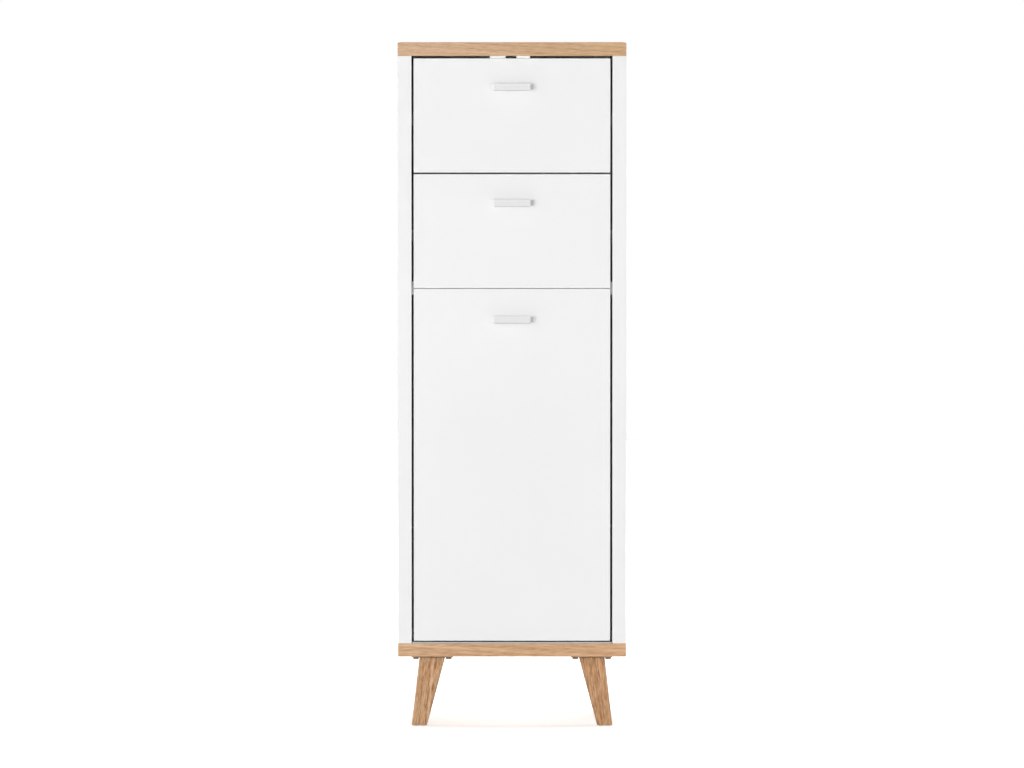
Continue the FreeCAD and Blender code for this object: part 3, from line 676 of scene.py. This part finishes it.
def loop_point(way):
    """A place on the rod's middle line, its outward direction and how near it is to the middle of a side.

    The way goes round from the left end of the front."""
    way %= loop_length
    for quarter in range(4):
        run_half = run_halves[quarter % 2]
        rise_half = run_halves[(quarter + 1) % 2]
        turn = quarter * math.pi / 2
        run = Vector((math.cos(turn), math.sin(turn), 0.0))
        out = Vector((math.sin(turn), -math.cos(turn), 0.0))
        if way <= 2 * run_half:
            nearness = math.cos((way / run_half - 1) * math.pi / 2)
            return loop_middle + out * (rise_half + rod_corner) + run * (way - run_half), out, nearness
        way -= 2 * run_half
        if way <= bend_length:
            angle = way / rod_corner
            lean = out * math.cos(angle) + run * math.sin(angle)
            return loop_middle + out * rise_half + run * run_half + lean * rod_corner, lean, 0.0
        way -= bend_length
    return loop_point(0.0)


def at_level(point, level):
    """A place on the loop, lifted to a level."""
    return Vector((point.x, point.y, level))


def fold_depth(way, share):
    """How far the slack cloth stands out or in, at a share of the way down the wall."""
    slack = min(1.0, fold_onset * share) * (1 - share ** 4 / 2)
    round_share = 2 * math.pi * way / loop_length
    waves = sum(fold.depth * math.sin(fold.count * round_share + fold.turn + fold.drift * share)
                for fold in bag_folds)
    point, _, _ = loop_point(way)
    drop = wall_height * share
    crease = noise.noise(Vector((point.x / crease_width, point.y / crease_width, drop / crease_length)))
    return slack * (waves + crease_depth * crease - fold_draw)


def wall_point(way, share):
    """A place on the bag's wall, at a share of the way down from the hem, and its outward direction."""
    point, out, nearness = loop_point(way)
    draw = bag_taper * share
    x = point.x * (1 - draw / loop_half)
    y = loop_front + (point.y - loop_front) * (1 - draw / (loop_back - loop_front))
    bow = bag_bow * nearness * math.sin(math.pi * share)
    offset = bag_layer_gap / 2 - bow + fold_depth(way, share)
    return Vector((x, y, hem_level - wall_height * share)) + out * offset, out


def sleeve_profile():
    """The hem's section round the rod, as distances outward and up from the rod's middle."""
    radius = rod_radius + bag_sleeve_gap + bag_cloth / 2
    layer = bag_layer_gap / 2
    tilt = math.asin((radius - layer) / bag_hem_drop)
    inner = [(-layer - bag_cloth, -bag_hem_end), (-layer, -bag_hem_drop)]
    turns = [math.pi + tilt - (math.pi + 2 * tilt) * step / sleeve_steps for step in range(sleeve_steps + 1)]
    arc = [(radius * math.cos(turn), radius * math.sin(turn)) for turn in turns]
    return inner + arc


def loop_ways():
    """Places round the loop for the cloth's columns, with one at each edge of the feet's gaps."""
    middle = run_halves[0]
    edges = [middle + side * rod_foot_offset + end * rod_foot_half for side in (-1, 1) for end in (-1, 1)]
    stops = [0.0] + edges + [loop_length]
    ways = []
    for start, end in zip(stops, stops[1:]):
        count = math.ceil((end - start) / bag_step)
        ways += [start + (end - start) * step / count for step in range(count)]
    return ways, edges


def over_foot(way, edges):
    """Whether a place on the loop is in a gap for one of the frame's feet."""
    return any(low < way < high for low, high in zip(edges[::2], edges[1::2]))


def grid(cloth, rows, ways, flats, closed=True, skip=None):
    """Faces over rows of points, with each face's place on the flat cloth for the weave.

    A row has one point for each way. flats gives each row's distance down the cloth."""
    layer = cloth.loops.layers.uv.get(weave_map) or cloth.loops.layers.uv.new(weave_map)
    vertices = [[cloth.verts.new(point) for point in row] for row in rows]
    columns = len(ways) if closed else len(ways) - 1
    for upper in range(len(rows) - 1):
        for column in range(columns):
            following = (column + 1) % len(ways)
            start = ways[column]
            end = ways[following] if following else loop_length
            if skip and skip(upper, (start + end) / 2):
                continue
            face = cloth.faces.new((vertices[upper][column], vertices[upper + 1][column],
                                    vertices[upper + 1][following], vertices[upper][following]))
            face.smooth = True
            corners = ((start, flats[upper]), (start, flats[upper + 1]),
                       (end, flats[upper + 1]), (end, flats[upper]))
            for loop, corner in zip(face.loops, corners):
                loop[layer].uv = corner
    return vertices


def close_floor(cloth, edge):
    """The bag's sagging floor, from the last row of the wall to the middle."""
    layer = cloth.loops.layers.uv.get(weave_map) or cloth.loops.layers.uv.new(weave_map)
    middle = sum((vertex.co for vertex in edge), Vector()) / len(edge)
    rows = [edge]
    for step in range(1, floor_steps):
        share = step / floor_steps
        sag = bag_floor_sag * (1 - (1 - share) ** 2)
        row = []
        for vertex in edge:
            point = vertex.co.lerp(middle, share)
            crease = noise.noise(Vector((point.x / crease_width, point.y / crease_width, 0.0)))
            row.append(cloth.verts.new(at_level(point, vertex.co.z - sag + crease_depth / 2 * crease)))
        rows.append(row)
    centre = cloth.verts.new(at_level(middle, middle.z - bag_floor_sag))
    faces = []
    for column in range(len(edge)):
        following = (column + 1) % len(edge)
        for upper, lower in zip(rows, rows[1:]):
            faces.append(cloth.faces.new((upper[column], lower[column], lower[following], upper[following])))
        faces.append(cloth.faces.new((rows[-1][column], centre, rows[-1][following])))
    for face in faces:
        face.smooth = True
        for loop in face.loops:
            loop[layer].uv = (loop.vert.co.x, loop.vert.co.y)


def hem_rows(ways):
    """Rows of points for the hem round the rod, and how far along the cloth each row is."""
    loops = [loop_point(way) for way in ways]
    gathers = sum(fold.count for fold in bag_folds)
    waves = [math.sin(2 * math.pi * gathers * way / loop_length) for way in ways]
    eases = [bag_sleeve_ease * (1 + wave) / 2 for wave in waves]
    profile = sleeve_profile()
    last = profile[0]
    flat = 0.0
    rows = []
    flats = []
    for outward, rise in profile:
        flat += math.dist(last, (outward, rise))
        last = (outward, rise)
        flats.append(flat)
        share = max(0.0, 1 + rise / bag_hem_drop)
        reach = math.hypot(outward, rise)
        rows.append([at_level(point, rod_level + rise * (1 + ease * share / reach))
                     + out * outward * (1 + ease * share / reach)
                     for (point, out, _), ease in zip(loops, eases)])
    return rows, flats


def wall_shares():
    """Shares of the way down the wall, one for each of its rows."""
    count = math.ceil(wall_height / bag_step)
    return [step / count for step in range(count + 1)]


def wall_rows(ways, flat):
    """Rows of points for the wall below the hem, and how far along the cloth each row is."""
    rows = [[wall_point(way, share)[0] for way in ways] for share in wall_shares()]
    return rows, [flat + wall_height * share for share in wall_shares()]


def corner_rows(ways, flat):
    """Rows of points for the bend from the wall to the floor, and how far along the cloth each row is."""
    bottom = [wall_point(way, 1.0) for way in ways]
    rows = []
    flats = []
    for step in range(1, bend_rows + 1):
        turn = math.pi / 2 * step / bend_rows
        rows.append([point - out * bag_floor_corner * (1 - math.cos(turn))
                     - Vector((0.0, 0.0, bag_floor_corner * math.sin(turn))) for point, out in bottom])
        flat += bag_floor_corner * math.pi / 2 / bend_rows
        flats.append(flat)
    return rows, flats


def bag_cloth_mesh():
    """The bag itself: the hem round the rod, the wall below it and the floor."""
    cloth = bmesh.new()
    ways, edges = loop_ways()
    hem, hem_flats = hem_rows(ways)
    wall, wall_flats = wall_rows(ways, hem_flats[-1] + bag_hem_drop)
    corner, corner_flats = corner_rows(ways, wall_flats[-1])
    vertices = grid(cloth, hem + wall + corner, ways, hem_flats + wall_flats + corner_flats,
                    skip=lambda upper, way: upper < len(hem) and over_foot(way, edges))
    close_floor(cloth, vertices[-1])
    loose = [vertex for vertex in cloth.verts if not vertex.link_faces]
    bmesh.ops.delete(cloth, geom=loose, context="VERTS")
    return cloth


def on_wall(way, share, rise):
    """A place over the wall's outer face, by a rise."""
    point, out = wall_point(way, share)
    return point + out * (bag_cloth / 2 + rise)


def tape_mesh():
    """The tapes over the bag's seams: one down the middle of each side and one round the floor."""
    cloth = bmesh.new()
    tape_flat = tape_half * tape_flat_share
    section = ((-tape_half, 0.0), (-tape_flat, tape_rise), (tape_flat, tape_rise), (tape_half, 0.0))
    across = [shift for shift, _ in section]
    flats = [wall_height * share for share in wall_shares()]
    for middle in side_middles():
        rows = [[on_wall(middle + shift, share, rise) for shift, rise in section] for share in wall_shares()]
        grid(cloth, rows, [middle + shift for shift in across], flats, closed=False)
    ways, _ = loop_ways()
    rows = [[on_wall(way, 1 - (tape_half + shift) / wall_height, rise) for way in ways]
            for shift, rise in section]
    grid(cloth, rows, ways, across)
    return cloth


def side_middles():
    """The ways to the middle of the bag's right and left sides."""
    right = 2 * run_halves[0] + bend_length + run_halves[1]
    return right, right + loop_length / 2


def add_stitches(cloth, line, length):
    """A row of stitches along a line that gives a place and its outward direction for each distance."""
    for number in range(int(length / stitch_pitch)):
        start = number * stitch_pitch
        spots = [line(start + stitch_length * share) for share in (0.0, 0.25, 0.75, 1.0)]
        along = (spots[3][0] - spots[0][0]).normalized()
        rings = []
        for point, out in spots[1:3]:
            side = out.cross(along)
            rings.append([cloth.verts.new(point + shift) for shift in
                          (out * stitch_rise, side * stitch_half, -out * stitch_rise, -side * stitch_half)])
        first, last = (cloth.verts.new(point - out * stitch_rise / 2) for point, out in (spots[0], spots[3]))
        for corner in range(4):
            following = (corner + 1) % 4
            faces = [cloth.faces.new((first, rings[0][following], rings[0][corner])),
                     cloth.faces.new((rings[0][corner], rings[0][following],
                                      rings[1][following], rings[1][corner])),
                     cloth.faces.new((last, rings[1][corner], rings[1][following]))]
            for face in faces:
                face.smooth = True


def stitch_mesh():
    """All of the bag's stitches: round the hem on both faces, and along the tapes."""
    cloth = bmesh.new()
    _, edges = loop_ways()

    def hem_line(start, layer):
        def spot(way):
            point, out, _ = loop_point(start + way)
            level = at_level(point, hem_level + bag_cloth)
            return level + out * layer * (bag_layer_gap / 2 + bag_cloth), out * layer
        return spot

    def side_line(middle, shift):
        def spot(way):
            point, out = wall_point(middle + shift, way / wall_height)
            return point + out * (bag_cloth + tape_rise), out
        return spot

    def floor_line(way):
        point, out = wall_point(way, 1 - tape_half / wall_height)
        return point + out * (bag_cloth + tape_rise), out

    stops = edges[1:] + [edges[0] + loop_length]
    for start, end in zip(stops[::2], stops[1::2]):
        for layer in (1, -1):
            add_stitches(cloth, hem_line(start, layer), end - start)
    for middle in side_middles():
        for shift in (-tape_half / 2, tape_half / 2):
            add_stitches(cloth, side_line(middle, shift), wall_height)
    add_stitches(cloth, floor_line, loop_length)
    return cloth


def piece(name, shape, material):
    """An object of the flap's from a finished mesh."""
    mesh = bpy.data.meshes.new(name)
    bmesh.ops.recalc_face_normals(shape, faces=shape.faces)
    shape.to_mesh(mesh)
    shape.free()
    made = bpy.data.objects.new(name, mesh)
    bpy.context.collection.objects.link(made)
    made.data.materials.append(material)
    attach(made, "flap")
    return made


def thicken(made, thickness, offset):
    """Give a sheet of cloth its thickness."""
    solid = made.modifiers.new("thickness", "SOLIDIFY")
    solid.thickness = thickness
    solid.offset = offset


def make_bag(looks):
    """The bag's cloth in place of its solid, with the tapes and stitches on it."""
    bag = piece("bag_canvas", bag_cloth_mesh(), looks["bag_fabric"])
    thicken(bag, bag_cloth, 0.0)
    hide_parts("laundry_bag")
    tapes = piece("bag_seam_tapes", tape_mesh(), looks["bag_fabric"])
    thicken(tapes, bag_cloth, 0.0)
    stitches = piece("bag_stitches", stitch_mesh(), sewing_thread())


# Stage, light and camera
def rays(tree, *kinds):
    """1 for rays of the given kinds and 0 for the others."""
    path = tree.nodes.new("ShaderNodeLightPath")
    share = path.outputs[kinds[0]]
    for kind in kinds[1:]:
        larger = tree.nodes.new("ShaderNodeMath")
        larger.operation = "MAXIMUM"
        tree.links.new(share, larger.inputs[0])
        tree.links.new(path.outputs[kind], larger.inputs[1])
        share = larger.outputs[0]
    return share


def make_world():
    """White where it is seen, and a soft even light where it falls on things."""
    world = bpy.data.worlds.new("studio")
    world.use_nodes = True
    tree = world.node_tree
    tree.nodes.clear()
    seen = tree.nodes.new("ShaderNodeBackground")
    cast = tree.nodes.new("ShaderNodeBackground")
    cast.inputs["Strength"].default_value = ambient_strength
    for background in (seen, cast):
        background.inputs["Color"].default_value = white_light
    mix = tree.nodes.new("ShaderNodeMixShader")
    output = tree.nodes.new("ShaderNodeOutputWorld")
    tree.links.new(rays(tree, "Is Camera Ray", *mirror_rays), mix.inputs[0])
    tree.links.new(cast.outputs[0], mix.inputs[1])
    tree.links.new(seen.outputs[0], mix.inputs[2])
    tree.links.new(mix.outputs[0], output.inputs["Surface"])
    bpy.context.scene.world = world


def floor_look():
    """A pale floor that reads as white paper, with the object's shadow on it."""
    look = Look("floor")
    look.surface(base_color=linear(floor_colour), roughness=0.9, specular_ior_level=0.0)
    distance = look.vector("LENGTH", look.place)
    glow = look.span(distance, floor_clear_radius, floor_fade_radius, floor_glow, 1.0)
    glow = look.maths("MULTIPLY", glow, rays(look.material.node_tree, "Is Camera Ray"))
    mirrored = rays(look.material.node_tree, *mirror_rays)
    look.surface(emission_color=white_light,
                 emission_strength=look.maths("MULTIPLY_ADD", mirrored, floor_mirror_glow, glow))
    return look.material


def make_floor():
    """A wide round floor under the cabinet."""
    disc = bmesh.new()
    bmesh.ops.create_circle(disc, cap_ends=True, radius=floor_radius, segments=floor_segments)
    mesh = bpy.data.meshes.new("floor")
    disc.to_mesh(mesh)
    disc.free()
    floor = bpy.data.objects.new("floor", mesh)
    bpy.context.collection.objects.link(floor)
    paint(floor, floor_look())


def aim(thing, target):
    """Turn a lamp, a card or the camera to face a point."""
    thing.rotation_euler = (Vector(target) - thing.location).to_track_quat("-Z", "Y").to_euler()


def make_lamp(lamp):
    """A soft lamp that aims at the cabinet and doesn't show in mirroring pieces."""
    data = bpy.data.lights.new(lamp.name, "AREA")
    data.shape = "ELLIPSE"
    data.size = lamp.width
    data.size_y = lamp.height
    data.energy = lamp.power
    made = bpy.data.objects.new(lamp.name, data)
    bpy.context.collection.objects.link(made)
    made.location = lamp.place
    aim(made, lamp_aim)
    made.visible_camera = False
    made.visible_glossy = False


def make_card(card):
    """A grey card that only shows in mirroring pieces and lights nothing."""
    look = Look(card.name)
    look.surface(base_color=no_colour, specular_ior_level=0.0, emission_strength=card.strength,
                 emission_color=white_light)
    sheet = bmesh.new()
    bmesh.ops.create_grid(sheet, x_segments=1, y_segments=1, size=0.5)
    mesh = bpy.data.meshes.new(card.name)
    sheet.to_mesh(mesh)
    sheet.free()
    made = bpy.data.objects.new(card.name, mesh)
    bpy.context.collection.objects.link(made)
    made.location = card.place
    made.scale = (card.width, card.depth, 1.0)
    made.rotation_euler = card.turn
    paint(made, look.material)
    made.visible_camera = False
    made.visible_diffuse = False
    made.visible_shadow = False
    made.visible_transmission = False


def make_camera():
    """The camera in front of the cabinet's middle."""
    data = bpy.data.cameras.new("camera")
    data.lens = camera_lens
    data.sensor_width = camera_sensor
    data.clip_end = camera_reach
    camera = bpy.data.objects.new("camera", data)
    bpy.context.collection.objects.link(camera)
    front_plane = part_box("left_side_panel")[0].y
    camera.location = (0.0, front_plane - camera_distance, camera_height)
    aim(camera, (0.0, front_plane, camera_target_height))
    bpy.context.scene.camera = camera


make_bag(paint_model())
make_world()
make_floor()
for lamp in lamps:
    make_lamp(lamp)
for card in cards:
    make_card(card)
make_camera()
bpy.context.scene.view_settings.view_transform = "Standard"
